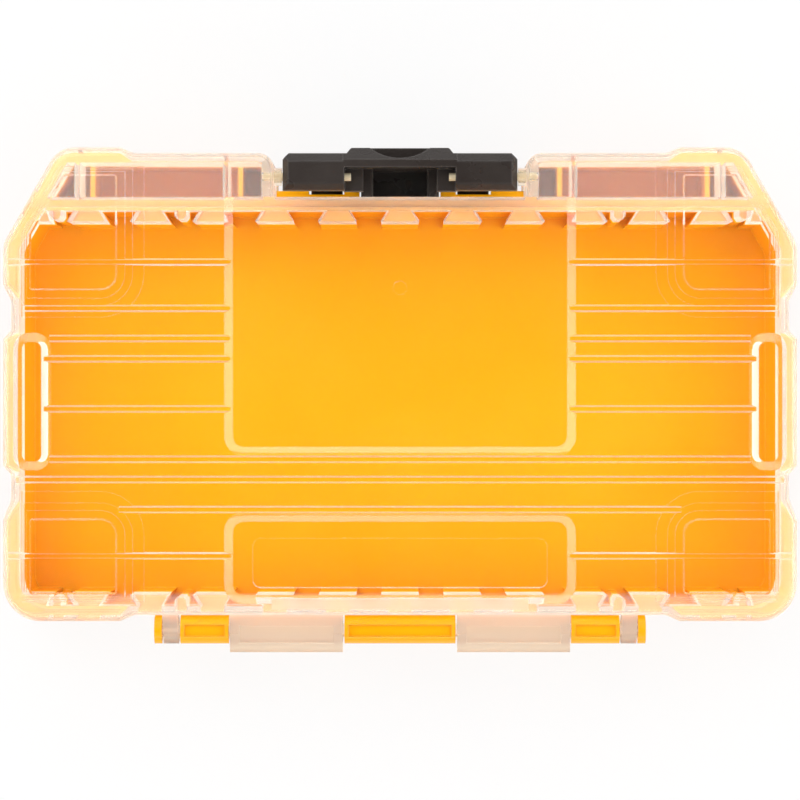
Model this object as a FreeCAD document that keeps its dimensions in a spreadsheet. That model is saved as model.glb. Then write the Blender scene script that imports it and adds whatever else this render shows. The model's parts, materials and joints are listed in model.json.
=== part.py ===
import FreeCAD, Part
import math
import os
import re
import Sketcher

# Tool case: open tray, clear lid on a hinge pin, hook latch on two pins. Millimetres, +Z up, latch side +Y.
os.makedirs("parts", exist_ok=True)
doc = FreeCAD.newDocument("tool_case")

# Driving dimensions
driving = {
    "caseWidth": 195.5,
    "latchEdge": 62.2,
    "hingeEdge": 54.45,
    "bumperStep": 2.0,
    "latchBumperStep": 1.4,
    "hingeBumperStep": 1.5,
    "bumperLength": 28.85,
    "cutWidth": 13.6,
    "cutDepth": 23.8,
    "cutRadius": 7.0,
    "hingeCornerRadius": 9.5,
    "latchBumperEnd": 28.4,
    "hingeBumperEnd": 29.6,
    "padTop": 15.0,
    "padBottom": 16.2,
    "wallThickness": 1.8,
    "floorThickness": 2.0,
    "footHeight": 0.8,
    "rimHeight": 22.0,
    "rimGap": 0.2,
    "faceHeight": 42.0,
    "draftAngle": 1.5,
    "edgeRadius": 2.6,
    "bottomBevel": 1.8,
    "lipHeight": 1.2,
    "lipWidth": 0.8,
    "lipClearance": 0.2,
    "recessWidth": 62.0,
    "recessWall": 49.8,
    "railThickness": 2.7,
    "shoulderWall": 2.4,
    "shoulderRib": 1.2,
    "trayRibInset": 20.75,
    "trayRibGap": 9.0,
    "lidRibInset": 18.35,
    "lidRibGap": 11.9,
    "lugThickness": 3.0,
    "combMargin": 5.2,
    "toothRoot": 5.3,
    "toothTip": 9.3,
    "toothDepth": 3.2,
    "nubWidth": 2.8,
    "nubDepth": 2.6,
    "panelHalf": 43.2,
    "panelRise": 1.4,
    "panelSlope": 58.0,
    "areaInset": 28.1,
    "areaRise": 0.25,
    "stepRise": 0.2,
    "ribRise": 1.0,
    "ribWidth": 1.8,
    "ribTop": 1.0,
    "ribCentre": 2.2,
    "hingeAxis": 57.7,
    "barrelRadius": 3.4,
    "grooveDepth": 0.9,
    "pinRadius": 1.65,
    "runningGap": 0.06,
    "knuckleGap": 0.4,
    "barrelHalf": 13.9,
    "knuckleLength": 28.2,
    "outerBarrel": 12.1,
    "smallKnuckle": 3.8,
    "endLug": 1.9,
    "noseReach": 5.4,
    "pivotReach": 5.2,
    "pivotDrop": 4.0,
    "latchPinRadius": 1.0,
    "latchSideGap": 2.1,
    "wingInner": 13.7,
    "ledgeReach": 2.65,
    "ledgeDepth": 6.0,
}
sheet = doc.addObject("Spreadsheet::Sheet", "Sizes")
for row, (alias, number) in enumerate(driving.items(), start=1):
    sheet.set(f"A{row}", alias)
    sheet.set(f"B{row}", str(number))
    sheet.setAlias(f"B{row}", alias)
doc.recompute()

# Sizes that follow from the driving ones, as expressions over the sheet
derived = {
    "caseHalf": "caseWidth/2",
    "wallHalf": "(caseWidth/2 - bumperStep)",
    "shoulder": "(latchEdge - latchBumperStep)",
    "hingeWall": "(hingeEdge - hingeBumperStep)",
    "bumperReach": "(caseWidth/2 - bumperLength)",
    "recessHalf": "(recessWidth/2)",
    "trayRibOuter": "(caseWidth/2 - trayRibInset)",
    "trayRibInner": "(recessWidth/2 + trayRibGap)",
    "lidRibOuter": "(caseWidth/2 - lidRibInset)",
    "lidRibInner": "(recessWidth/2 + lidRibGap)",
    "areaReach": "(caseWidth/2 - areaInset)",
    "railFace": "(recessWall - railThickness)",
    "cavityHalf": "(caseWidth/2 - bumperStep - wallThickness)",
    "cavityHinge": "(hingeEdge - hingeBumperStep - wallThickness)",
    "cutWall": "(wallThickness + bumperStep)",
    "cutSpan": "(sqrt(cutWidth^2 + cutDepth^2))",
    "lidRim": "(rimHeight + rimGap)",
    "lidCeiling": "(faceHeight - floorThickness)",
    "trayFloor": "(footHeight + floorThickness)",
    "toothPitch": "((caseWidth - 2*combMargin)/12)",
    "axisHeight": "(rimHeight + rimGap/2)",
    "pivotY": "(recessWall + pivotReach)",
    "pivotZ": "(faceHeight - pivotDrop)",
    "latchHalf": "(recessWidth/2 - latchSideGap)",
    "knuckleStart": "(barrelHalf + knuckleGap)",
    "knuckleEnd": "(barrelHalf + knuckleGap + knuckleLength)",
    "outerStart": "(barrelHalf + 2*knuckleGap + knuckleLength)",
    "outerEnd": "(barrelHalf + 2*knuckleGap + knuckleLength + outerBarrel)",
    "smallStart": "(barrelHalf + 3*knuckleGap + knuckleLength + outerBarrel)",
    "lugStart": "(barrelHalf + 4*knuckleGap + knuckleLength + outerBarrel + smallKnuckle)",
    "lugEnd": "(barrelHalf + 4*knuckleGap + knuckleLength + outerBarrel + smallKnuckle + endLug)",
}


# Expression over plain size names, turned into one over the sheet's cells
def link(text):
    for _ in range(3):
        text = re.sub(r"\b[a-z]\w*\b", lambda found: derived.get(found[0], found[0]), str(text))
    return re.sub(r"\b[a-z]\w*\b", lambda found: "Sizes." + found[0] if found[0] in driving else found[0], text)


def value(text):
    found = sheet.evalExpression(link(text))
    return float(getattr(found, "Value", found))


def plane(body, role):
    return next(item for item in body.Origin.OriginFeatures if item.Role == role)


def sketchOn(body, name, role="XY_Plane", offset="0"):
    sketch = body.newObject("Sketcher::SketchObject", name)
    sketch.AttachmentSupport = [(plane(body, role), "")]
    sketch.MapMode = "FlatFace"
    sketch.setExpression("AttachmentOffset.Base.z", link(offset))
    return sketch


# Constraints added in one go, each as its parts and the expression that drives it, or None
def hold(sketch, rules):
    made = []
    for parts, text in rules:
        made.append(Sketcher.Constraint(*parts) if text is None else Sketcher.Constraint(*parts, value(text)))
    for index, (parts, text) in zip(sketch.addConstraint(made), rules):
        if text is not None:
            sketch.setExpression(f"Constraints[{index}]", link(text))


def vector(point):
    return FreeCAD.Vector(point[0], point[1], 0)


def toward(start, end):
    span = math.hypot(end[0] - start[0], end[1] - start[1])
    return (end[0] - start[0]) / span, (end[1] - start[1]) / span


# Closed outline through (x, y) or (x, y, radius) corners, every corner held by an expression
def addLoop(sketch, corners):
    points = [(value(corner[0]), value(corner[1])) for corner in corners]
    radii = [value(corner[2]) if len(corner) > 2 else 0.0 for corner in corners]
    count = len(corners)
    ends = []
    for index, point in enumerate(points):
        back = toward(point, points[index - 1])
        ahead = toward(point, points[(index + 1) % count])
        half = math.acos(max(-1.0, min(1.0, back[0] * ahead[0] + back[1] * ahead[1]))) / 2
        reach = radii[index] / math.tan(half)
        depth = radii[index] / math.sin(half)
        middle = toward((0, 0), (back[0] + ahead[0], back[1] + ahead[1]))
        ends.append((
            (point[0] + back[0] * reach, point[1] + back[1] * reach),
            (point[0] + ahead[0] * reach, point[1] + ahead[1] * reach),
            (point[0] + middle[0] * depth, point[1] + middle[1] * depth),
        ))
    first = sketch.GeometryCount
    lines = []
    for index in range(count):
        lines.append(Part.LineSegment(vector(ends[index][1]), vector(ends[(index + 1) % count][0])))
    arcs = []
    marks = []
    rules = []
    rounded = sum(1 for radius in radii if radius)
    for index, (x, y, *radius) in enumerate(corners):
        before = first + (index - 1) % count
        after = first + index
        where = after
        if radius:
            come, leave, centre = ends[index]
            a = math.atan2(come[1] - centre[1], come[0] - centre[0])
            b = math.atan2(leave[1] - centre[1], leave[0] - centre[0])
            left = math.sin(b - a) > 0
            circle = Part.Circle(vector(centre), FreeCAD.Vector(0, 0, 1), radii[index])
            arc = first + count + len(arcs)
            where = first + count + rounded + len(marks)
            arcs.append(Part.ArcOfCircle(circle, a, b) if left else Part.ArcOfCircle(circle, b, a))
            marks.append(Part.Point(vector(points[index])))
            rules.append((("Tangent", before, 2, arc, 1 if left else 2), None))
            rules.append((("Tangent", arc, 2 if left else 1, after, 1), None))
            rules.append((("Radius", arc), radius[0]))
            rules.append((("PointOnObject", where, 1, before), None))
            rules.append((("PointOnObject", where, 1, after), None))
        else:
            rules.append((("Coincident", before, 2, after, 1), None))
        rules.append((("DistanceX", -1, 1, where, 1), x))
        rules.append((("DistanceY", -1, 1, where, 1), y))
    sketch.addGeometry(lines + arcs, False)
    if marks:
        sketch.addGeometry(marks, True)
    hold(sketch, rules)


def addCircle(sketch, x, y, radius):
    middle = FreeCAD.Vector(value(x), value(y), 0)
    index = sketch.addGeometry(Part.Circle(middle, FreeCAD.Vector(0, 0, 1), value(radius)))
    hold(sketch, [(("Radius", index), radius), (("DistanceX", -1, 1, index, 3), x),
                  (("DistanceY", -1, 1, index, 3), y)])


def box(left, low, right, high, radius=None):
    tail = () if radius is None else (radius,)
    return [(x, y, *tail) for x, y in ((left, low), (right, low), (right, high), (left, high))]


# The same outline on the other side of the middle plane
def flip(corners):
    return [(f"-({corner[0]})", *corner[1:]) for corner in reversed(corners)]


def feature(kind, body, sketch, length, taper=None, back=False, both=False):
    item = body.newObject("PartDesign::" + kind, sketch.Name + "_" + kind.lower())
    item.Profile = sketch
    item.setExpression("Length", link(length))
    item.Midplane = both
    item.Reversed = back
    if taper is not None:
        item.setExpression("TaperAngle", link(taper))
    doc.recompute()
    return item


def pad(body, name, loops, length, role="XY_Plane", offset="0", **more):
    sketch = sketchOn(body, name, role, offset)
    for corners in loops:
        addLoop(sketch, corners)
    return feature("Pad", body, sketch, length, **more)


def pocket(body, name, loops, length, role="XY_Plane", offset="0", **more):
    sketch = sketchOn(body, name, role, offset)
    for corners in loops:
        addLoop(sketch, corners)
    return feature("Pocket", body, sketch, length, **more)


def roundPad(body, name, circles, length, role="YZ_Plane", offset="0", **more):
    sketch = sketchOn(body, name, role, offset)
    for circle in circles:
        addCircle(sketch, *circle)
    return feature("Pad", body, sketch, length, **more)


def bore(body, name, circles, length, role="YZ_Plane", offset="0", **more):
    sketch = sketchOn(body, name, role, offset)
    for circle in circles:
        addCircle(sketch, *circle)
    return feature("Pocket", body, sketch, length, **more)


def repeat(body, item, step, times):
    pattern = body.newObject("PartDesign::LinearPattern", item.Name + "_row")
    pattern.Originals = [item]
    pattern.Direction = (plane(body, "X_Axis"), [""])
    pattern.Occurrences = times
    pattern.setExpression("Length", link(f"{step}*{times - 1}"))
    body.Tip = pattern
    doc.recompute()
    return pattern


def mirror(body, *items):
    copy = body.newObject("PartDesign::Mirrored", items[0].Name + "_mirror")
    copy.Originals = list(items)
    copy.MirrorPlane = (plane(body, "YZ_Plane"), [""])
    body.Tip = copy
    doc.recompute()
    return copy


# Edges lying at one height, rounded or bevelled
def soften(body, item, kind, amount, height):
    level = value(height)
    flat = [abs(edge.BoundBox.ZMax - level) + abs(edge.BoundBox.ZMin - level) < 1e-4 for edge in item.Shape.Edges]
    soft = body.newObject("PartDesign::" + kind, item.Name + "_" + kind.lower())
    soft.Base = (item, [f"Edge{n}" for n, found in enumerate(flat, start=1) if found])
    soft.setExpression("Radius" if kind == "Fillet" else "Size", link(amount))
    doc.recompute()
    return soft


def newBody(name):
    body = doc.addObject("PartDesign::Body", name)
    body.Label = name
    body.AllowCompound = True
    return body


def join(name, *bodies):
    whole = doc.addObject("Part::MultiFuse", name)
    whole.Label = name
    whole.Shapes = list(bodies)
    whole.Refine = True
    doc.recompute()
    return whole


# Outline of both shells, right half from the hinge side up to the latch recess
outlineRight = [
    ("bumperReach - 3.5", "-hingeWall"),
    ("bumperReach", "-hingeEdge"),
    ("caseHalf", "-hingeEdge", "hingeCornerRadius"),
    ("caseHalf", "-hingeBumperEnd"),
    ("wallHalf", "5.3 - hingeBumperEnd"),
    ("wallHalf", "-padBottom - 2.2"),
    ("caseHalf", "-padBottom"),
    ("caseHalf", "padTop"),
    ("wallHalf", "padTop + 2.2"),
    ("wallHalf", "latchBumperEnd - 4"),
    ("caseHalf", "latchBumperEnd"),
    ("caseHalf", "latchEdge - cutDepth", "cutRadius"),
    ("caseHalf - cutWidth", "latchEdge", "cutRadius"),
    ("bumperReach", "latchEdge"),
    ("bumperReach - 3.5", "shoulder"),
    ("recessHalf", "shoulder", "4"),
    ("recessHalf", "recessWall"),
]
halfOutline = [("-3", "-hingeWall")] + outlineRight + [("-3", "recessWall")]


# The inner face of a cut corner, a given distance in from its outer face: X at a given Y, and Y at a given X
def cutX(y, inset="cutWall"):
    return f"(caseHalf - (({inset})*cutSpan + cutWidth*(({y}) - latchEdge + cutDepth))/cutDepth)"


def cutY(x, inset="cutWall"):
    return f"(latchEdge - cutDepth + (cutDepth*(caseHalf - ({x})) - ({inset})*cutSpan)/cutWidth)"


# Outline of the main compartment, grown outward for the lip and its seat
def cavity(grow):
    inset = f"cutWall - ({grow})"
    right = [
        (f"cavityHalf + {grow}", f"-cavityHinge - {grow}", f"7 + {grow}"),
        (f"cavityHalf + {grow}", cutY(f"cavityHalf + {grow}", inset), "3"),
        (cutX(f"railFace + {grow}", inset), f"railFace + {grow}", "3"),
    ]
    return right + flip(right)


# Hollows beside the latch recess on the right, parted by an outer and an inner upright rib
def shoulderPockets(outer, inner):
    low = "recessWall"
    high = "(shoulder - shoulderWall)"
    ribHalf = "shoulderRib/2"
    corner = [(f"{outer} + {ribHalf}", low), (cutX(low), low), (cutX(high), high),
              (f"{outer} + {ribHalf}", high)]
    middle = box(f"{inner} + {ribHalf}", low, f"{outer} - {ribHalf}", high)
    lug = box("(recessHalf + lugThickness)", low, f"{inner} - {ribHalf}", high)
    return [corner, middle, lug]


# Corner areas of the right side, at the latch side and the hinge side, their inner corner grown by grow
def corner(grow, rim, *radius):
    inset = f"({rim} + bumperStep)"
    outX, inX = f"(caseHalf - {inset})", f"(areaReach - {grow})"
    latchY, hingeY = f"(latchEdge - {inset})", f"(-hingeEdge + {inset})"
    latchLow, hingeHigh = f"latchBumperEnd - 1.25 - {grow}", f"0.35 + {grow} - hingeBumperEnd"
    inner = f"3.9 + {grow}"
    latchLoop = [(inX, latchLow, inner), (outX, latchLow, *radius), (outX, cutY(outX, rim), *radius),
                 (cutX(latchY, rim), latchY, *radius), (inX, latchY, *radius)]
    hingeLoop = [(inX, hingeY, *radius), (outX, hingeY, *radius), (outX, hingeHigh, *radius),
                 (inX, hingeHigh, inner)]
    return [latchLoop, hingeLoop]


# Dovetail comb teeth on both long walls, half teeth in the corners, and small nubs between
def comb(body, name, start, length):
    for side, sign, wall in (("latch", "-1", "railFace"), ("hinge", "1", "-cavityHinge")):
        root, end = f"{wall} - ({sign})*0.6", f"{wall} + ({sign})*toothDepth"
        middle = "-5*toothPitch"
        tooth = [(f"{middle} - toothRoot/2", root), (f"{middle} - toothRoot/2", wall),
                 (f"{middle} - toothTip/2", end),
                 (f"{middle} + toothTip/2", end), (f"{middle} + toothRoot/2", wall),
                 (f"{middle} + toothRoot/2", root)]
        item = pad(body, f"{name}_{side}_tooth", [tooth], length, offset=start)
        repeat(body, item, "toothPitch", 11)
    inner, root, end = cutX("railFace"), "railFace + 0.6", "railFace - toothDepth"
    loops = [[(f"{inner} - 1.2", root), (f"{inner} - 1.2", "railFace"), (f"{inner} - 2.2", end),
              (f"{cutX(end)} + 0.8", end), (f"{cutX(root)} + 0.8", root)]]
    root, end = "-cavityHinge - 0.6", "toothDepth - cavityHinge"
    loops.append([(f"{inner} - 1.2", root), ("cavityHalf - 3.4", root), ("cavityHalf - 0.4", end),
                  (f"{inner} - 2.2", end),
                  (f"{inner} - 1.2", "-cavityHinge")])
    for place in ("3.5*toothPitch", "5.5*toothPitch"):
        for sign, wall in (("-1", "railFace"), ("1", "-cavityHinge")):
            root, end = f"{wall} - ({sign})*0.6", f"{wall} + ({sign})*nubDepth"
            bend = f"{wall} + ({sign})*(nubDepth - 0.9)"
            loops.append([(f"{place} - nubWidth/2", root), (f"{place} - nubWidth/2", bend),
                          (f"{place} - nubWidth/4", end),
                          (f"{place} + nubWidth/4", end), (f"{place} + nubWidth/2", bend),
                          (f"{place} + nubWidth/2", root)])
    mirror(body, pad(body, name + "_nubs", loops, length, offset=start))


# Tray: outer shell with its bevelled bottom edge
trayShell = newBody("tray_shell")
half = pad(trayShell, "tray_outline", [halfOutline], "rimHeight - footHeight", offset="footHeight")
soften(trayShell, mirror(trayShell, half), "Chamfer", "bottomBevel", "footHeight")

# Tray: catch ledge, split in the middle for the hook arm and notched for the two hooks
ledgeFace = "(recessWall + ledgeReach)"
ledge = [("10.2", "recessWall - 1"), ("recessHalf + 0.8", "recessWall - 1"), ("recessHalf + 0.8", ledgeFace),
         ("22.9", ledgeFace), ("22.9", f"{ledgeFace} - 0.85"), ("14", f"{ledgeFace} - 0.85"),
         ("14", ledgeFace),
         ("10.2", ledgeFace)]
pad(trayShell, "tray_ledge", [ledge, flip(ledge)], "ledgeDepth", offset="rimHeight - 0.2", back=True)

# Tray: hinge barrels with their webs, grooves along their tops, and the pin's bore
trayHinge = newBody("tray_hinge")
axis = ("-hingeAxis", "axisHeight")
web = [("0.7 - hingeWall", "axisHeight - 8"), ("0.7 - hingeWall", "axisHeight - 0.4"),
       ("-hingeAxis", "axisHeight - 0.4"),
       ("-hingeAxis", "axisHeight - barrelRadius")]
roundPad(trayHinge, "barrel_middle", [(*axis, "barrelRadius")], "2*barrelHalf", both=True)
pad(trayHinge, "web_middle", [web], "2*barrelHalf", role="YZ_Plane", both=True)
sides = []
for name, start, length in (("outer", "outerStart", "outerBarrel"), ("end", "lugStart", "endLug")):
    sides.append(roundPad(trayHinge, "barrel_" + name, [(*axis, "barrelRadius")], length, offset=start))
    sides.append(pad(trayHinge, "web_" + name, [web], length, role="YZ_Plane", offset=start))
mirror(trayHinge, *sides)
bore(trayHinge, "tray_bore", [(*axis, "pinRadius")], "2*lugEnd + 4", both=True)
grooveOuter = box("outerStart + 1", "-hingeAxis - 1.4", "outerEnd - 1", "1.4 - hingeAxis")
grooveMiddle = box("1 - barrelHalf", "-hingeAxis - 1.4", "barrelHalf - 1", "1.4 - hingeAxis")
pocket(trayHinge, "barrel_grooves", [grooveMiddle, grooveOuter, flip(grooveOuter)], "grooveDepth + 0.5",
       offset="axisHeight + barrelRadius + 0.5")

# Tray: feet, compartment, lip, shoulders and combs
mirror(trayShell, pad(trayShell, "tray_feet", corner("0", "2.6"), "footHeight + 0.5"))
pocket(trayShell, "tray_cavity", [cavity("0")], "rimHeight - trayFloor", offset="rimHeight",
       taper="-draftAngle")
pad(trayShell, "tray_lip", [cavity("lipWidth"), cavity("0")], "lipHeight", offset="rimHeight")
hollows = pocket(trayShell, "tray_shoulder", shoulderPockets("trayRibOuter", "trayRibInner"),
                 "rimHeight - trayFloor",
                 offset="rimHeight")
mirror(trayShell, hollows)
trayComb = newBody("tray_comb")
comb(trayComb, "tray", "trayFloor - 0.3", "rimHeight - trayFloor - 1.3")
tray = join("tray", trayShell, trayHinge, trayComb)

# Lid: outer shell with its rounded top edge
lidShell = newBody("lid_shell")
half = pad(lidShell, "lid_outline", [halfOutline], "faceHeight - lidRim", offset="lidRim")
soften(lidShell, mirror(lidShell, half), "Fillet", "edgeRadius", "faceHeight")

# Lid: hinge knuckles, two broad ones with a stop nose and two narrow ones, bored for the pin
lidHinge = newBody("lid_hinge")
broad = [("0.7 - hingeWall", "axisHeight + 0.35"), ("0.7 - hingeWall", "axisHeight + 8.4"),
         ("-hingeAxis - 0.8", "axisHeight + 4.1"), ("-hingeAxis - noseReach", "axisHeight + 4.1", "1.4"),
         ("-hingeAxis - noseReach", "axisHeight - 0.5"), ("-hingeAxis", "axisHeight - 0.5")]
narrow = [("0.7 - hingeWall", "axisHeight + 0.35"), ("0.7 - hingeWall", "axisHeight + 8"),
          ("-hingeAxis - 1", "axisHeight + barrelRadius - 0.2"), ("-hingeAxis", "axisHeight + 0.35")]
sides = [
    roundPad(lidHinge, "knuckle_broad", [(*axis, "barrelRadius")], "knuckleLength", offset="knuckleStart"),
    pad(lidHinge, "nose_broad", [broad], "knuckleLength", role="YZ_Plane", offset="knuckleStart"),
    roundPad(lidHinge, "knuckle_narrow", [(*axis, "barrelRadius")], "smallKnuckle", offset="smallStart"),
    pad(lidHinge, "web_narrow", [narrow], "smallKnuckle", role="YZ_Plane", offset="smallStart"),
]
mirror(lidHinge, *sides)
bore(lidHinge, "lid_bore", [(*axis, "pinRadius + runningGap")], "2*lugEnd + 4", both=True)
seat = box("knuckleStart + 2.3", "-hingeAxis - 3.1", "knuckleEnd - 2.3", "2.4 - hingeAxis")
pocket(lidHinge, "knuckle_seats", [seat, flip(seat)], "3", offset="axisHeight + 5.6")

# Lid: latch lugs with bosses, bored for the latch pins
pivot = ("pivotY", "pivotZ")
boss = roundPad(lidShell, "latch_boss", [(*pivot, "2.2")], "latchSideGap + 1", offset="latchHalf + 0.25")
hole = bore(lidShell, "latch_bore", [(*pivot, "latchPinRadius")], "lugThickness + latchSideGap + 2",
            offset="latchHalf - 0.5",
            back=True)
mirror(lidShell, boss, hole)

# Lid: compartment, seat for the tray's lip, and shoulders
pocket(lidShell, "lid_cavity", [cavity("0")], "lidCeiling - lidRim", offset="lidRim", taper="-draftAngle",
       back=True)
pocket(lidShell, "lip_seat", [cavity("(lipWidth + lipClearance)")], "lipHeight + 0.4", offset="lidRim",
       back=True)
hollows = pocket(lidShell, "lid_shoulder", shoulderPockets("lidRibOuter", "lidRibInner"),
                 "lidCeiling - lidRim",
                 offset="lidRim", back=True)
mirror(lidShell, hollows)

# Lid: raised areas of the face
lidFace = newBody("lid_face")
pad(lidFace, "face_panel", [box("-panelHalf", "-13.7", "panelHalf", "recessWall + 3.5", "4.9")], "panelRise",
    offset="faceHeight", taper="-panelSlope")
pocket(lidFace, "panel_end", [box("-panelHalf - 1", "recessWall", "panelHalf + 1", "recessWall + 5")],
       "panelRise + 0.6",
       offset="faceHeight + panelRise + 0.5")
rootHalf = "(recessHalf + edgeRadius + 0.3)"
pad(lidFace, "panel_root", [box(f"-{rootHalf}", "recessWall - edgeRadius - 0.5", rootHalf, "recessWall")],
    "edgeRadius + 0.4",
    offset="faceHeight - edgeRadius - 0.3")
pad(lidFace, "lower_panel", [box("-panelHalf", "edgeRadius + 0.25 - hingeWall", "panelHalf", "-27.6",
                                 "4.9")], "panelRise",
    offset="faceHeight", taper="-panelSlope")
sideArea = box("caseHalf - 12", "-padBottom - 1.15", "caseHalf - edgeRadius - 0.15", "padTop + 1.5", "4")
pad(lidFace, "side_areas", [sideArea, flip(sideArea)], "panelRise", offset="faceHeight", taper="-panelSlope")
tiers = [
    pad(lidFace, "corner_low", corner("6.8", "edgeRadius + 0.3"), "stepRise", offset="faceHeight"),
    pad(lidFace, "corner_mid", corner("4", "edgeRadius + 0.9"), "stepRise", offset="faceHeight + stepRise"),
    pad(lidFace, "corner_high", corner("2.15", "edgeRadius + 1.5"), "areaRise",
        offset="faceHeight + 2*stepRise"),
    pad(lidFace, "corner_top", corner("0.2", "edgeRadius + 2.2", "0.8"), "areaRise",
        offset="faceHeight + 2*stepRise + areaRise",
        taper="-panelSlope"),
]

# Lid: stiffening ribs across the face
ribs = []
for name, offset, start, reach in (
    ("a", "36.06", "panelHalf - 1.7", "caseHalf - 1.6"),
    ("b", "24.7", "panelHalf - 1.7", "caseHalf - 5"),
    ("c", "17.3", "panelHalf - 1.7", "caseHalf - 11.7"),
    ("d", "12.3", "panelHalf - 1.7", "caseHalf - 9.5"),
    ("e", "0", "panelHalf - 1.7", "caseHalf - 9.5"),
    ("f", "-12.35", "-1", "caseHalf - 11.7"),
    ("g", "-17.33", "-1", "caseHalf - 3.5"),
    ("h", "-24.7", "-1", "areaReach - 0.7"),
    ("i", "-36.06", "panelHalf - 1.7", "caseHalf - 1.6"),
):
    middle, base, top = f"{offset} - ribCentre", "faceHeight - 0.8", "faceHeight + ribRise"
    profile = [(f"{middle} - ribWidth/2", base), (f"{middle} + ribWidth/2", base),
               (f"{middle} + ribWidth/2", "faceHeight"),
               (f"{middle} + ribTop/2", top), (f"{middle} - ribTop/2", top),
               (f"{middle} - ribWidth/2", "faceHeight")]
    ribs.append(pad(lidFace, "face_rib_" + name, [profile], f"{reach} - ({start})", role="YZ_Plane",
                    offset=start))
mirror(lidFace, *tiers, *ribs)
pad(lidFace, "face_bar", [box("-31.5", "-51.4", "31.5", "-48.7")], "panelRise + 0.9",
    offset="faceHeight - 0.4")
pocket(lidFace, "label_seat", [box("-36.1", "-46", "36.1", "-33.9", "2")], "0.25",
       offset="faceHeight + panelRise")
bore(lidFace, "gate_mark", [("0", "27.5", "1.7")], "0.3", role="XY_Plane", offset="faceHeight + panelRise")

# Lid: combs
lidComb = newBody("lid_comb")
comb(lidComb, "lid", "lidRim + 2.2", "lidCeiling - lidRim - 1.9")
lid = join("lid", lidShell, lidHinge, lidFace, lidComb)

# Latch: wings and back plate, bridge with its thumb scoop, hook arm and hooks
latch = newBody("latch")
wingIn, wingOut, plateIn = "(recessWall + 1.8)", "shoulder", "(shoulder - 3.1)"
latchTop, latchFoot = "(faceHeight - 0.5)", "9"
profile = [(plateIn, latchFoot), (wingOut, latchFoot, "1.2"), (wingOut, f"{latchTop} - 2", "0.8"),
           (f"{wingOut} - 2", latchTop, "0.8"), (f"{wingIn} + 1.6", latchTop, "0.8"),
           (wingIn, f"{latchTop} - 1.6", "0.8"), (wingIn, "pivotZ - 3.4", "1.5"),
           (plateIn, "pivotZ - 3.4", "1")]
pad(latch, "latch_profile", [profile], "2*latchHalf", role="YZ_Plane", both=True)
wingEnd = [("latchHalf - 1.4", f"{latchTop} + 0.5"), ("latchHalf - 1.4", latchTop),
           ("latchHalf", f"{latchTop} - 1.8"),
           ("latchHalf + 1", f"{latchTop} - 1.8"), ("latchHalf + 1", f"{latchTop} + 0.5")]
pocket(latch, "wing_ends", [wingEnd, flip(wingEnd)], "150", role="XZ_Plane", both=True)
wingCorner = [("latchHalf - 1.5", f"{wingOut} + 0.5"), ("latchHalf - 1.5", wingOut),
              ("latchHalf", f"{wingOut} - 1.6"),
              ("latchHalf + 1", f"{wingOut} - 1.6"), ("latchHalf + 1", f"{wingOut} + 0.5")]
pocket(latch, "wing_corners", [wingCorner, flip(wingCorner)], "faceHeight", offset="faceHeight")
pocket(latch, "latch_middle", [box(f"{wingIn} - 1", "pivotZ - 4", f"{plateIn} - 0.5", f"{latchTop} + 1")],
       "2*wingInner", role="YZ_Plane", both=True)
bridge = [("-wingInner - 0.3", f"{plateIn} + 0.5"), ("wingInner + 0.3", f"{plateIn} + 0.5"),
          ("wingInner + 0.3", f"{wingOut} - 1.2"), ("wingInner - 1.6", "latchEdge", "0.8"),
          ("1.6 - wingInner", "latchEdge", "0.8"), ("-wingInner - 0.3", f"{wingOut} - 1.2")]
pad(latch, "latch_bridge", [bridge], f"{latchTop} - {latchFoot}", offset=latchFoot)
slope = [("latchEdge + 0.5", f"{latchTop} - 4.2"), ("latchEdge + 0.5", f"{latchTop} + 1"),
         ("latchEdge - 3", f"{latchTop} + 1"), ("latchEdge - 3", f"{latchTop} - 0.7")]
pocket(latch, "bridge_slope", [slope], "2*wingInner + 0.7", role="YZ_Plane", both=True)
lipEnd = "(hingeAxis + noseReach)"
lip = [("latchEdge - 0.6", latchFoot), (lipEnd, latchFoot), (lipEnd, f"{latchFoot} + 1"),
       ("latchEdge - 0.6", f"{latchFoot} + 4")]
pad(latch, "finger_lip", [lip], "2*wingInner - 3.6", role="YZ_Plane", both=True)
bore(latch, "thumb_scoop", [("0", "latchEdge + 9.2", "11.84")], "6", role="XY_Plane",
     offset=f"{latchTop} + 1")
arm = box("6.8", "recessWall + 0.35", "9.7", f"{plateIn} + 0.3")
pad(latch, "hook_arm", [arm, flip(arm)], "pivotZ - 21", offset="13")
shelf = box("9.1", wingIn, "wingInner + 0.3", f"{plateIn} + 0.3")
pad(latch, "pin_shelf", [shelf, flip(shelf)], "4", offset="pivotZ - 6")
pad(latch, "arm_web", [box("-9.7", "recessWall + 0.35", "9.7", f"{plateIn} + 0.3")], "2", offset="13")
hook = box("14.5", f"{ledgeFace} - 0.5", "22.4", f"{plateIn} + 0.3")
pad(latch, "latch_hooks", [hook, flip(hook)], "3.4", offset="rimHeight - ledgeDepth - 4")
bore(latch, "pivot_bore", [(*pivot, "latchPinRadius + runningGap")], "2*latchHalf + 2", both=True)
grooves = [box("-11", f"{10.5 + 2.2 * n}", "11", f"{11.5 + 2.2 * n}") for n in range(2, 6)]
pocket(latch, "grip_grooves", grooves, "0.5", role="XZ_Plane", offset="-latchEdge", back=True)

# Pins
hingePin = newBody("hinge_pin")
roundPad(hingePin, "hinge_rod", [(*axis, "pinRadius")], "2*lugEnd - 0.6", both=True)
latchPins = []
for name, side in (("latch_pin_left", -1), ("latch_pin_right", 1)):
    pin = newBody(name)
    roundPad(pin, name + "_rod", [(*pivot, "latchPinRadius")], "recessHalf + lugThickness - 12.4",
             offset="12.1" if side > 0 else "-(recessHalf + lugThickness - 0.3)")
    latchPins.append(pin)

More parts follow.
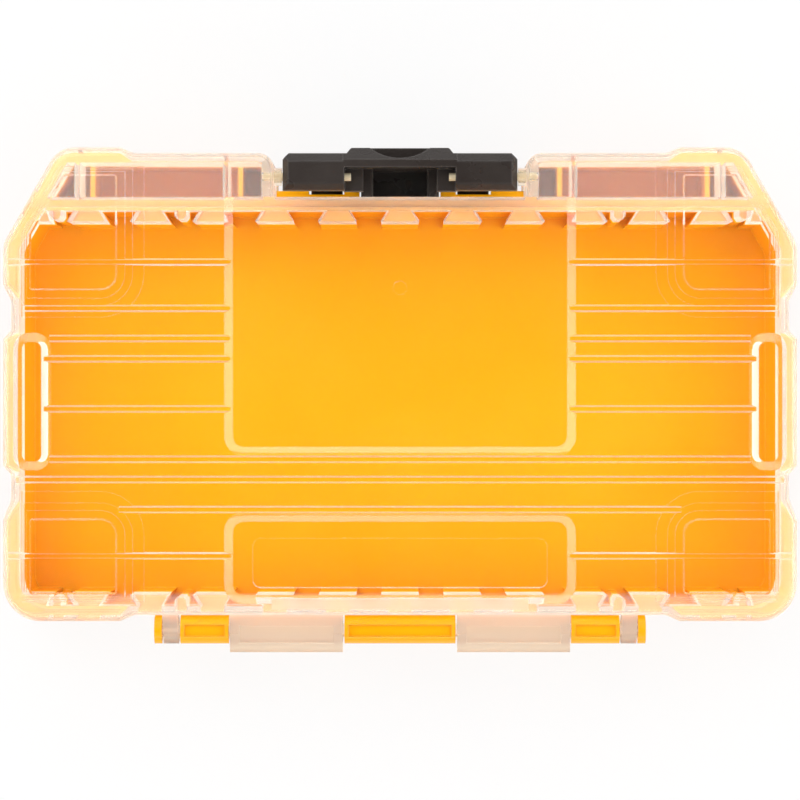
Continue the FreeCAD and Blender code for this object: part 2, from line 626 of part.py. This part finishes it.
doc.recompute()
for item in doc.Objects:
    if "Invalid" in item.State or "Error" in item.State:
        raise RuntimeError(item.Label + " did not build")
for item in (tray, lid, latch, hingePin, *latchPins):
    if item.Shape.isNull() or not item.Shape.isValid() or len(item.Shape.Solids) != 1:
        raise RuntimeError(item.Label + " is not one sound solid")
    item.Shape.exportStep(f"parts/{item.Label}.step")
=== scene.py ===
import json
import bpy
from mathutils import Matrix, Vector

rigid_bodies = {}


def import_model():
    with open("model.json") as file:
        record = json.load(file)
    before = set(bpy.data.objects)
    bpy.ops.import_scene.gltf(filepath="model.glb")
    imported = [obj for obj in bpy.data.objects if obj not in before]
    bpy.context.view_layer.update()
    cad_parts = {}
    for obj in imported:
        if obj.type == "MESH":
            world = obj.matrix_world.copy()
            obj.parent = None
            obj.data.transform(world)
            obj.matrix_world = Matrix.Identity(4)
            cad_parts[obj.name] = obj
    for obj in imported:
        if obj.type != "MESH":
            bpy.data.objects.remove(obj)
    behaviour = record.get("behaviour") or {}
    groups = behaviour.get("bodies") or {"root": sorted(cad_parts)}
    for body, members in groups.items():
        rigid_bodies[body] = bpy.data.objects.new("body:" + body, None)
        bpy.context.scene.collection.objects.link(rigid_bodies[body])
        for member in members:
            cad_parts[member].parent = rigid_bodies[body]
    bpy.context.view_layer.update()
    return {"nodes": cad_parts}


for leftover in list(bpy.data.objects):
    bpy.data.objects.remove(leftover)

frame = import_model()
cad = frame["nodes"]
print("case loaded:", ", ".join(sorted(cad)))


# node building

# a Mix node's sockets by their places, because its colour and value sockets share names
mixColour = {"first": 6, "second": 7, "result": 2}
mixValue = {"first": 2, "second": 3, "result": 0}


def addNode(tree, kind, label="", **values):
    node = tree.nodes.new(kind)
    node.label = label
    for key, value in values.items():
        if hasattr(node, key):
            setattr(node, key, value)
        else:
            node.inputs[key].default_value = value
    return node


def wire(tree, *pairs):
    for start, end in pairs:
        tree.links.new(start, end)


def newGroup(name, inputs, outputs):
    tree = bpy.data.node_groups.new(name, "ShaderNodeTree")
    for label, start in inputs:
        socket = tree.interface.new_socket(label, in_out="INPUT", socket_type="NodeSocketFloat")
        socket.default_value = start
    for label, kind in outputs:
        tree.interface.new_socket(label, in_out="OUTPUT", socket_type=kind)
    return tree, tree.nodes.new("NodeGroupInput"), tree.nodes.new("NodeGroupOutput")


def useGroup(tree, group, **values):
    node = tree.nodes.new("ShaderNodeGroup")
    node.node_tree = group
    for key, value in values.items():
        node.inputs[key].default_value = value
    return node


# spark-eroded mould texture: fine grain height, slow cloudy patches
def makeMouldGrain():
    tree, start, end = newGroup(
        "mouldGrain",
        [("Grain Scale", 900.0), ("Patch Scale", 30.0), ("Patch Contrast", 0.5)],
        [("Height", "NodeSocketFloat"), ("Patch", "NodeSocketFloat")],
    )
    # full contrast moves both ends of the noise's range in by this much
    lowEnd = 0.2
    highEnd = 0.8
    squeeze = 0.3
    coord = addNode(tree, "ShaderNodeTexCoord")
    fine = addNode(tree, "ShaderNodeTexNoise", "grain", Detail=3.0, Roughness=0.6)
    slow = addNode(tree, "ShaderNodeTexNoise", "patches", Detail=4.0, Roughness=0.55)
    spread = addNode(tree, "ShaderNodeMapRange", "contrast")
    low = addNode(tree, "ShaderNodeMath", operation="MULTIPLY_ADD")
    low.inputs[1].default_value = squeeze
    low.inputs[2].default_value = lowEnd
    high = addNode(tree, "ShaderNodeMath", operation="MULTIPLY_ADD")
    high.inputs[1].default_value = -squeeze
    high.inputs[2].default_value = highEnd
    wire(
        tree,
        (coord.outputs["Object"], fine.inputs["Vector"]),
        (coord.outputs["Object"], slow.inputs["Vector"]),
        (start.outputs["Grain Scale"], fine.inputs["Scale"]),
        (start.outputs["Patch Scale"], slow.inputs["Scale"]),
        (start.outputs["Patch Contrast"], low.inputs[0]),
        (start.outputs["Patch Contrast"], high.inputs[0]),
        (slow.outputs["Fac"], spread.inputs["Value"]),
        (low.outputs[0], spread.inputs["From Min"]),
        (high.outputs[0], spread.inputs["From Max"]),
        (fine.outputs["Fac"], end.inputs["Height"]),
        (spread.outputs["Result"], end.inputs["Patch"]),
    )
    return tree


# lighter edges: where a rounded normal leaves the flat one, broken up by noise
def makeEdgeLightening():
    tree, start, end = newGroup(
        "edgeLightening",
        [("Width", 0.0006), ("Break Up", 0.5)],
        [("Mask", "NodeSocketFloat"), ("Soft Normal", "NodeSocketVector")],
    )
    # how far the two normals agree, on a flat face and on a sharp edge
    flatLimit = 0.995
    sharpLimit = 0.75
    soft = addNode(tree, "ShaderNodeBevel", samples=4)
    flat = addNode(tree, "ShaderNodeNewGeometry")
    dot = addNode(tree, "ShaderNodeVectorMath", operation="DOT_PRODUCT")
    edge = addNode(tree, "ShaderNodeMapRange", "edge")
    edge.inputs["From Min"].default_value = flatLimit
    edge.inputs["From Max"].default_value = sharpLimit
    coord = addNode(tree, "ShaderNodeTexCoord")
    noise = addNode(tree, "ShaderNodeTexNoise", "break up", Scale=260.0, Detail=4.0)
    fade = addNode(tree, "ShaderNodeMix", "break up", data_type="FLOAT")
    fade.inputs[mixValue["first"]].default_value = 1.0
    mask = addNode(tree, "ShaderNodeMath", operation="MULTIPLY")
    wire(
        tree,
        (start.outputs["Width"], soft.inputs["Radius"]),
        (soft.outputs["Normal"], dot.inputs[0]),
        (flat.outputs["Normal"], dot.inputs[1]),
        (dot.outputs["Value"], edge.inputs["Value"]),
        (coord.outputs["Object"], noise.inputs["Vector"]),
        (start.outputs["Break Up"], fade.inputs["Factor"]),
        (noise.outputs["Fac"], fade.inputs[mixValue["second"]]),
        (edge.outputs["Result"], mask.inputs[0]),
        (fade.outputs[mixValue["result"]], mask.inputs[1]),
        (mask.outputs[0], end.inputs["Mask"]),
        (soft.outputs["Normal"], end.inputs["Soft Normal"]),
    )
    return tree


# polish of a clear moulding: long flow lines and a few hairline scuffs
def makeFlowPolish():
    tree, start, end = newGroup(
        "flowPolish",
        [("Flow Scale", 14.0), ("Scuff Scale", 120.0), ("Scuff Amount", 0.3)],
        [("Flow", "NodeSocketFloat"), ("Scuff", "NodeSocketFloat")],
    )
    flowStretch = (1.0, 3.0, 1.0)
    scuffStretch = (1.0, 14.0, 1.0)
    scuffTurn = (0.0, 0.0, 0.6)
    # only the noise's peaks make hairlines
    hairlineStart = 0.62
    hairlineFull = 0.75
    coord = addNode(tree, "ShaderNodeTexCoord")
    stretch = addNode(tree, "ShaderNodeMapping")
    stretch.inputs["Scale"].default_value = flowStretch
    turn = addNode(tree, "ShaderNodeMapping")
    turn.inputs["Rotation"].default_value = scuffTurn
    turn.inputs["Scale"].default_value = scuffStretch
    flow = addNode(tree, "ShaderNodeTexNoise", "flow", Detail=2.0, Distortion=0.6)
    scuff = addNode(tree, "ShaderNodeTexNoise", "scuff", Detail=6.0, Roughness=0.7)
    thin = addNode(tree, "ShaderNodeMapRange", "hairlines")
    thin.inputs["From Min"].default_value = hairlineStart
    thin.inputs["From Max"].default_value = hairlineFull
    amount = addNode(tree, "ShaderNodeMath", operation="MULTIPLY")
    wire(
        tree,
        (coord.outputs["Object"], stretch.inputs["Vector"]),
        (coord.outputs["Object"], turn.inputs["Vector"]),
        (stretch.outputs["Vector"], flow.inputs["Vector"]),
        (turn.outputs["Vector"], scuff.inputs["Vector"]),
        (start.outputs["Flow Scale"], flow.inputs["Scale"]),
        (start.outputs["Scuff Scale"], scuff.inputs["Scale"]),
        (scuff.outputs["Fac"], thin.inputs["Value"]),
        (thin.outputs["Result"], amount.inputs[0]),
        (start.outputs["Scuff Amount"], amount.inputs[1]),
        (flow.outputs["Fac"], end.inputs["Flow"]),
        (amount.outputs[0], end.inputs["Scuff"]),
    )
    return tree


# frosted mould texture on the upright faces of a clear moulding, polished on the level ones
def makeSideFrost():
    tree, start, end = newGroup(
        "sideFrost",
        [("Level Limit", 0.9), ("Steep Limit", 0.35), ("Low Limit", 0.8), ("High Limit", 0.99)],
        [("Frost", "NodeSocketFloat")],
    )
    coord = addNode(tree, "ShaderNodeTexCoord")
    split = addNode(tree, "ShaderNodeSeparateXYZ")
    flat = addNode(tree, "ShaderNodeMath", operation="ABSOLUTE")
    steep = addNode(tree, "ShaderNodeMapRange", "steepness")
    height = addNode(tree, "ShaderNodeSeparateXYZ")
    low = addNode(tree, "ShaderNodeMath", "below the face", operation="LESS_THAN")
    high = addNode(tree, "ShaderNodeMath", "top of the bar", operation="GREATER_THAN")
    ends = addNode(tree, "ShaderNodeMath", operation="MAXIMUM")
    either = addNode(tree, "ShaderNodeMath", operation="MAXIMUM")
    wire(
        tree,
        (coord.outputs["Normal"], split.inputs[0]),
        (split.outputs["Z"], flat.inputs[0]),
        (flat.outputs[0], steep.inputs["Value"]),
        (start.outputs["Level Limit"], steep.inputs["From Min"]),
        (start.outputs["Steep Limit"], steep.inputs["From Max"]),
        (coord.outputs["Generated"], height.inputs[0]),
        (height.outputs["Z"], low.inputs[0]),
        (start.outputs["Low Limit"], low.inputs[1]),
        (steep.outputs["Result"], either.inputs[0]),
        (height.outputs["Z"], high.inputs[0]),
        (start.outputs["High Limit"], high.inputs[1]),
        (low.outputs[0], ends.inputs[0]),
        (high.outputs[0], ends.inputs[1]),
        (ends.outputs[0], either.inputs[1]),
        (either.outputs[0], end.inputs["Frost"]),
    )
    return tree


# milky band round the rim, outside the polished window, which also carries a painted reflection of the
# orange tray; a band at the hinge end carries a painted reflection of the yellow barrels; limits are
# shares of the piece's own box
def makeRimHazeAndPaintedReflection():
    tree, start, end = newGroup(
        "rimHazeAndPaintedReflection",
        [("Side", 0.476), ("Front", 0.88), ("Back", 0.12), ("HingePaintedReflection", 0.08), ("Softness", 0.01)],
        [("HazeAndPaintedReflection", "NodeSocketFloat"), ("HingePaintedReflection", "NodeSocketFloat")],
    )
    middle = 0.5
    coord = addNode(tree, "ShaderNodeTexCoord")
    split = addNode(tree, "ShaderNodeSeparateXYZ")
    centred = addNode(tree, "ShaderNodeMath", operation="SUBTRACT")
    centred.inputs[1].default_value = middle
    off = addNode(tree, "ShaderNodeMath", operation="ABSOLUTE")
    side, front, back, hinge = (
        addNode(tree, "ShaderNodeMath", edge, operation="SUBTRACT")
        for edge in ("side", "front", "back", "hinge")
    )
    far = addNode(tree, "ShaderNodeMath", operation="MAXIMUM")
    most = addNode(tree, "ShaderNodeMath", operation="MAXIMUM")
    soft = addNode(tree, "ShaderNodeMath", operation="DIVIDE", use_clamp=True)
    outer = addNode(tree, "ShaderNodeMath", operation="DIVIDE", use_clamp=True)
    wire(
        tree,
        (coord.outputs["Generated"], split.inputs[0]),
        (split.outputs["X"], centred.inputs[0]),
        (centred.outputs[0], off.inputs[0]),
        (off.outputs[0], side.inputs[0]),
        (start.outputs["Side"], side.inputs[1]),
        (split.outputs["Y"], front.inputs[0]),
        (start.outputs["Front"], front.inputs[1]),
        (start.outputs["Back"], back.inputs[0]),
        (split.outputs["Y"], back.inputs[1]),
        (side.outputs[0], far.inputs[0]),
        (front.outputs[0], far.inputs[1]),
        (far.outputs[0], most.inputs[0]),
        (back.outputs[0], most.inputs[1]),
        (most.outputs[0], soft.inputs[0]),
        (start.outputs["Softness"], soft.inputs[1]),
        (soft.outputs[0], end.inputs["HazeAndPaintedReflection"]),
        (start.outputs["HingePaintedReflection"], hinge.inputs[0]),
        (split.outputs["Y"], hinge.inputs[1]),
        (hinge.outputs[0], outer.inputs[0]),
        (start.outputs["Softness"], outer.inputs[1]),
        (outer.outputs[0], end.inputs["HingePaintedReflection"]),
    )
    return tree


mouldGrain = makeMouldGrain()
edgeLightening = makeEdgeLightening()
flowPolish = makeFlowPolish()
sideFrost = makeSideFrost()
rimHazeAndPaintedReflection = makeRimHazeAndPaintedReflection()
groups = (mouldGrain, edgeLightening, flowPolish, sideFrost, rimHazeAndPaintedReflection)
print("finish groups:", ", ".join(group.name for group in groups))


# materials

def newMaterial(name):
    material = bpy.data.materials.new(name)
    material.use_nodes = True
    tree = material.node_tree
    tree.nodes.clear()
    surface = tree.nodes.new("ShaderNodeBsdfPrincipled")
    out = tree.nodes.new("ShaderNodeOutputMaterial")
    tree.links.new(surface.outputs["BSDF"], out.inputs["Surface"])
    return material, tree, surface


def blendColours(tree, mask, first, second):
    mix = addNode(tree, "ShaderNodeMix", data_type="RGBA")
    mix.inputs[mixColour["first"]].default_value = (*first, 1.0)
    mix.inputs[mixColour["second"]].default_value = (*second, 1.0)
    tree.links.new(mask, mix.inputs["Factor"])
    return mix.outputs[mixColour["result"]]


def blendValues(tree, mask, low, high):
    spread = addNode(tree, "ShaderNodeMapRange")
    spread.inputs["To Min"].default_value = low
    spread.inputs["To Max"].default_value = high
    tree.links.new(mask, spread.inputs["Value"])
    return spread.outputs["Result"]


# opaque moulded plastic with grain, cloudy patches and lighter edges
def mouldedPlastic(name, look):
    material, tree, surface = newMaterial(name)
    grain = useGroup(tree, mouldGrain, **{
        "Grain Scale": look["grainScale"],
        "Patch Scale": look["patchScale"],
        "Patch Contrast": look["patchContrast"],
    })
    edgeLighter = useGroup(tree, edgeLightening, Width=look["edgeWidth"], **{"Break Up": look["edgeBreakUp"]})
    body = blendColours(tree, grain.outputs["Patch"], look["colour"], look["patchColour"])
    # the edges take the lighter edge colour along the edge mask
    lightenedEdges = addNode(tree, "ShaderNodeMix", data_type="RGBA")
    lightenedEdges.inputs[mixColour["second"]].default_value = (*look["edgeColour"], 1.0)
    bump = addNode(tree, "ShaderNodeBump", Strength=look["grainStrength"], Distance=look["grainDepth"])
    surface.inputs["IOR"].default_value = look["ior"]
    wire(
        tree,
        (edgeLighter.outputs["Mask"], lightenedEdges.inputs["Factor"]),
        (body, lightenedEdges.inputs[mixColour["first"]]),
        (lightenedEdges.outputs[mixColour["result"]], surface.inputs["Base Color"]),
        (blendValues(tree, grain.outputs["Patch"], *look["roughness"]), surface.inputs["Roughness"]),
        (grain.outputs["Height"], bump.inputs["Height"]),
        (edgeLighter.outputs["Soft Normal"], bump.inputs["Normal"]),
        (bump.outputs["Normal"], surface.inputs["Normal"]),
    )
    return material


# clear moulded plastic, polished on level faces, frosted on upright ones and milky round the rim; a peach
# tint round the rim and a brown tint at the hinge end are painted reflections of the orange tray and the
# yellow barrels
def clearPlastic(name, look):
    material, tree, surface = newMaterial(name)
    polish = useGroup(tree, flowPolish, **{
        "Flow Scale": look["flowScale"],
        "Scuff Scale": look["scuffScale"],
        "Scuff Amount": look["scuffAmount"],
    })
    frost = useGroup(tree, sideFrost, **{
        "Level Limit": look["levelLimit"],
        "Steep Limit": look["steepLimit"],
        "Low Limit": look["lowLimit"],
        "High Limit": look["highLimit"],
    })
    hazeAndPaintedReflection = useGroup(tree, rimHazeAndPaintedReflection, **{
        "Side": look["hazeSide"],
        "Front": look["hazeFront"],
        "Back": look["hazeBack"],
        "HingePaintedReflection": look["hingeBack"],
    })
    clear = blendColours(tree, polish.outputs["Flow"], look["colour"], look["flowColour"])
    # painted reflection: the peach rim tint and the brown hinge tint stand in for the tray's and the
    # barrels' colour seen in the clear plastic
    paintedReflection = addNode(tree, "ShaderNodeMix", "rim tint", data_type="RGBA")
    paintedReflection.inputs[mixColour["second"]].default_value = (*look["rimPaintedReflectionColour"], 1.0)
    hingePaintedReflectionMix = addNode(tree, "ShaderNodeMix", "hinge tint", data_type="RGBA")
    hingePaintedReflectionMix.inputs[mixColour["second"]].default_value = (*look["hingePaintedReflectionColour"], 1.0)
    veil = addNode(tree, "ShaderNodeMath", operation="MULTIPLY_ADD", use_clamp=True)
    veil.inputs[1].default_value = look["frostCoat"]
    blur = addNode(tree, "ShaderNodeMath", operation="MULTIPLY_ADD")
    blur.inputs[1].default_value = look["hazeRoughness"]
    rough = addNode(tree, "ShaderNodeMath", operation="MULTIPLY_ADD")
    rough.inputs[1].default_value = look["scuffRoughness"]
    dull = addNode(tree, "ShaderNodeMath", operation="MULTIPLY_ADD")
    dull.inputs[1].default_value = look["frostRoughness"]
    bump = addNode(tree, "ShaderNodeBump", Strength=look["waveStrength"], Distance=look["waveDepth"])
    rounded = addNode(tree, "ShaderNodeBevel", "moulded edge radius", samples=4, Radius=look["edgeRadius"])
    surface.inputs["Transmission Weight"].default_value = 1.0
    surface.inputs["IOR"].default_value = look["ior"]
    surface.inputs["Coat Roughness"].default_value = look["coatRoughness"]
    surface.inputs["Coat IOR"].default_value = look["coatIor"]
    # lamps shine through to the tray
    path = addNode(tree, "ShaderNodeLightPath")
    through = addNode(tree, "ShaderNodeBsdfTransparent", Color=(*look["lampTint"], 1.0))
    mix = addNode(tree, "ShaderNodeMixShader")
    out = next(node for node in tree.nodes if node.bl_idname == "ShaderNodeOutputMaterial")
    wire(
        tree,
        (path.outputs["Is Shadow Ray"], mix.inputs["Fac"]),
        (surface.outputs["BSDF"], mix.inputs[1]),
        (through.outputs["BSDF"], mix.inputs[2]),
        (mix.outputs["Shader"], out.inputs["Surface"]),
        (rounded.outputs["Normal"], bump.inputs["Normal"]),
        (clear, paintedReflection.inputs[mixColour["first"]]),
        (hazeAndPaintedReflection.outputs["HazeAndPaintedReflection"], paintedReflection.inputs["Factor"]),
        (hazeAndPaintedReflection.outputs["HingePaintedReflection"], hingePaintedReflectionMix.inputs["Factor"]),
        (paintedReflection.outputs[mixColour["result"]], hingePaintedReflectionMix.inputs[mixColour["first"]]),
        (hingePaintedReflectionMix.outputs[mixColour["result"]], surface.inputs["Base Color"]),
        (frost.outputs["Frost"], veil.inputs[0]),
        (blendValues(tree, hazeAndPaintedReflection.outputs["HazeAndPaintedReflection"], 0.0, look["hazeCoat"]), veil.inputs[2]),
        (veil.outputs[0], surface.inputs["Coat Weight"]),
        (polish.outputs["Scuff"], rough.inputs[0]),
        (blendValues(tree, polish.outputs["Flow"], *look["roughness"]), rough.inputs[2]),
        (frost.outputs["Frost"], dull.inputs[0]),
        (rough.outputs[0], dull.inputs[2]),
        (hazeAndPaintedReflection.outputs["HazeAndPaintedReflection"], blur.inputs[0]),
        (dull.outputs[0], blur.inputs[2]),
        (blur.outputs[0], surface.inputs["Roughness"]),
        (polish.outputs["Flow"], bump.inputs["Height"]),
        (bump.outputs["Normal"], surface.inputs["Normal"]),
    )
    return material


trayLook = {
    "colour": (1.0, 0.425, 0.0015),
    "patchColour": (1.0, 0.45, 0.002),
    "edgeColour": (1.0, 0.56, 0.03),
    "roughness": (0.18, 0.26),
    "ior": 1.42,
    "grainScale": 1100.0,
    "grainStrength": 0.12,
    "grainDepth": 0.0003,
    "patchScale": 26.0,
    "patchContrast": 0.4,
    "edgeWidth": 0.0005,
    "edgeBreakUp": 0.3,
}
latchLook = {
    "colour": (0.024, 0.0175, 0.0145),
    "patchColour": (0.032, 0.024, 0.020),
    "edgeColour": (0.13, 0.110, 0.098),
    "roughness": (0.24, 0.34),
    "ior": 1.5,
    "grainScale": 1500.0,
    "grainStrength": 0.25,
    "grainDepth": 0.0003,
    "patchScale": 60.0,
    "patchContrast": 0.5,
    "edgeWidth": 0.0005,
    "edgeBreakUp": 0.6,
}
pinLook = {
    "colour": (0.86, 0.70, 0.42),
    "patchColour": (0.90, 0.78, 0.54),
    "edgeColour": (0.92, 0.88, 0.78),
    "roughness": (0.35, 0.5),
    "ior": 1.5,
    "grainScale": 1500.0,
    "grainStrength": 0.15,
    "grainDepth": 0.0002,
    "patchScale": 150.0,
    "patchContrast": 0.5,
    "edgeWidth": 0.0002,
    "edgeBreakUp": 0.4,
}
lidLook = {
    "colour": (1.0, 1.0, 1.0),
    "flowColour": (0.992, 0.994, 0.994),
    "lampTint": (0.93, 0.93, 0.93),
    "roughness": (0.0, 0.02),
    "edgeRadius": 0.0003,
    "levelLimit": 0.9,
    "steepLimit": 0.35,
    "lowLimit": 0.8,
    "highLimit": 0.99,
    "frostRoughness": 0.45,
    "hazeSide": 0.476,
    "hazeFront": 0.877,
    "hazeBack": 0.127,
    "hingeBack": 0.08,
    # painted reflections: peach round the rim for the orange tray, brown at the hinge end for the yellow
    # barrels
    "rimPaintedReflectionColour": (0.985, 0.925, 0.81),
    "hingePaintedReflectionColour": (0.76, 0.56, 0.36),
    "hazeRoughness": 0.08,
    "hazeCoat": 0.62,
    "frostCoat": 0.85,
    "coatRoughness": 0.9,
    "coatIor": 3.0,
    "ior": 1.52,
    "flowScale": 16.0,
    "scuffScale": 110.0,
    "scuffAmount": 0.3,
    "scuffRoughness": 0.12,
    "waveStrength": 0.05,
    "waveDepth": 0.001,
}

trayPlastic = mouldedPlastic("trayPlastic", trayLook)
latchPlastic = mouldedPlastic("latchPlastic", latchLook)
pinPlastic = mouldedPlastic("pinPlastic", pinLook)
lidPlastic = clearPlastic("lidPlastic", lidLook)

finishes = {
    "tray": trayPlastic,
    "lid": lidPlastic,
    "hinge_pin": lidPlastic,
    "latch": latchPlastic,
    "latch_pin_left": pinPlastic,
    "latch_pin_right": pinPlastic,
}
for name, material in finishes.items():
    for slot in cad[name].material_slots:
        slot.material = material
print("finishes set on", len(finishes), "pieces")


# studio

studio = {
    "floorSize": 6.0,
    "floorColour": (0.90, 0.90, 0.90),
    "floorTint": (0.87, 0.87, 0.875),
    "floorGlow": 0.85,
    "floorRoughness": 0.9,
    "floorDrop": 0.0004,  # just clear of the feet
    "floorGrainScale": 300.0,
    "floorPatchScale": 3.0,
    "floorPatchContrast": 0.2,
    # height on the dome and light level
    "domeBands": [
        (0.0, 0.4), (0.36, 0.5), (0.39, 4.6), (0.48, 4.6),
        (0.53, 0.6), (0.92, 0.6), (0.975, 0.11), (0.99, 0.07),
    ],
    "keyPower": 4.5,
    "keySize": 0.9,
    "keyPlace": (-0.55, 0.75, 1.25),
    "fillPower": 2.4,
    "fillSize": 0.8,
    "fillPlace": (0.8, -0.5, 1.0),
}


def makeFloor():
    half = studio["floorSize"] / 2
    mesh = bpy.data.meshes.new("floor")
    corners = [(-half, -half, 0), (half, -half, 0), (half, half, 0), (-half, half, 0)]
    mesh.from_pydata(corners, [], [(0, 1, 2, 3)])
    floor = bpy.data.objects.new("floor", mesh)
    bpy.context.scene.collection.objects.link(floor)
    floor.location.z = -studio["floorDrop"]
    material, tree, surface = newMaterial("paleFloor")
    grain = useGroup(tree, mouldGrain, **{
        "Grain Scale": studio["floorGrainScale"],
        "Patch Scale": studio["floorPatchScale"],
        "Patch Contrast": studio["floorPatchContrast"],
    })
    paint = blendColours(tree, grain.outputs["Patch"], studio["floorColour"], studio["floorTint"])
    tree.links.new(paint, surface.inputs["Base Color"])
    surface.inputs["Roughness"].default_value = studio["floorRoughness"]
    # seen directly, in reflection or through the lid the floor is nearly white, with its shadow kept
    path = addNode(tree, "ShaderNodeLightPath")
    glow = addNode(tree, "ShaderNodeEmission", Strength=1.0)
    seen = addNode(tree, "ShaderNodeMath", operation="MAXIMUM")
    shown = addNode(tree, "ShaderNodeMath", operation="MAXIMUM")
    share = addNode(tree, "ShaderNodeMath", operation="MULTIPLY")
    share.inputs[1].default_value = studio["floorGlow"]
    mix = addNode(tree, "ShaderNodeMixShader")
    out = next(node for node in tree.nodes if node.bl_idname == "ShaderNodeOutputMaterial")
    wire(
        tree,
        (path.outputs["Is Camera Ray"], seen.inputs[0]),
        (path.outputs["Is Glossy Ray"], seen.inputs[1]),
        (seen.outputs[0], shown.inputs[0]),
        (path.outputs["Is Transmission Ray"], shown.inputs[1]),
        (shown.outputs[0], share.inputs[0]),
        (share.outputs[0], mix.inputs["Fac"]),
        (surface.outputs["BSDF"], mix.inputs[1]),
        (glow.outputs["Emission"], mix.inputs[2]),
        (mix.outputs["Shader"], out.inputs["Surface"]),
    )
    mesh.materials.append(material)


def makeDome():
    world = bpy.data.worlds.new("studioDome")
    bpy.context.scene.world = world
    world.use_nodes = True
    tree = world.node_tree
    tree.nodes.clear()
    coord = addNode(tree, "ShaderNodeTexCoord")
    split = addNode(tree, "ShaderNodeSeparateXYZ")
    ramp = addNode(tree, "ShaderNodeValToRGB", "light bands")
    # a bright band of panels round the table, dark above the camera so that the flat lid mirrors little
    bands = studio["domeBands"]
    peak = max(level for _, level in bands)
    while len(ramp.color_ramp.elements) < len(bands):
        ramp.color_ramp.elements.new(1.0)
    for stop, (place, level) in zip(ramp.color_ramp.elements, bands):
        stop.position = place
        stop.color = (level / peak, level / peak, level / peak, 1.0)
    dome = addNode(tree, "ShaderNodeBackground", Strength=peak)
    out = addNode(tree, "ShaderNodeOutputWorld")
    wire(
        tree,
        (coord.outputs["Generated"], split.inputs[0]),
        (split.outputs["Z"], ramp.inputs["Fac"]),
        (ramp.outputs["Color"], dome.inputs["Color"]),
        (dome.outputs["Background"], out.inputs["Surface"]),
    )


def makeLamp(name, place, size, power):
    lamp = bpy.data.lights.new(name, "AREA")
    lamp.shape = "DISK"
    lamp.size = size
    lamp.energy = power
    item = bpy.data.objects.new(name, lamp)
    bpy.context.scene.collection.objects.link(item)
    item.location = place
    item.rotation_euler = (-Vector(place)).to_track_quat("-Z", "Y").to_euler()


# straight down onto the lid, as far off as the comb and the lid's face say
cameraLook = {
    "height": 0.945,
    "aim": (0.0, 0.0),
    "lens": 165.5,
    "sensor": 36.0,
    "reach": 20.0,
}


def makeCamera():
    lens = bpy.data.cameras.new("camera")
    lens.lens = cameraLook["lens"]
    lens.sensor_width = cameraLook["sensor"]
    lens.clip_end = cameraLook["reach"]
    item = bpy.data.objects.new("camera", lens)
    bpy.context.scene.collection.objects.link(item)
    item.location = (*cameraLook["aim"], cameraLook["height"])
    bpy.context.scene.camera = item


makeFloor()
makeDome()
makeLamp("keySoftbox", studio["keyPlace"], studio["keySize"], studio["keyPower"])
makeLamp("fillSoftbox", studio["fillPlace"], studio["fillSize"], studio["fillPower"])
makeCamera()
bpy.context.scene.view_settings.view_transform = "Standard"
print("studio ready")
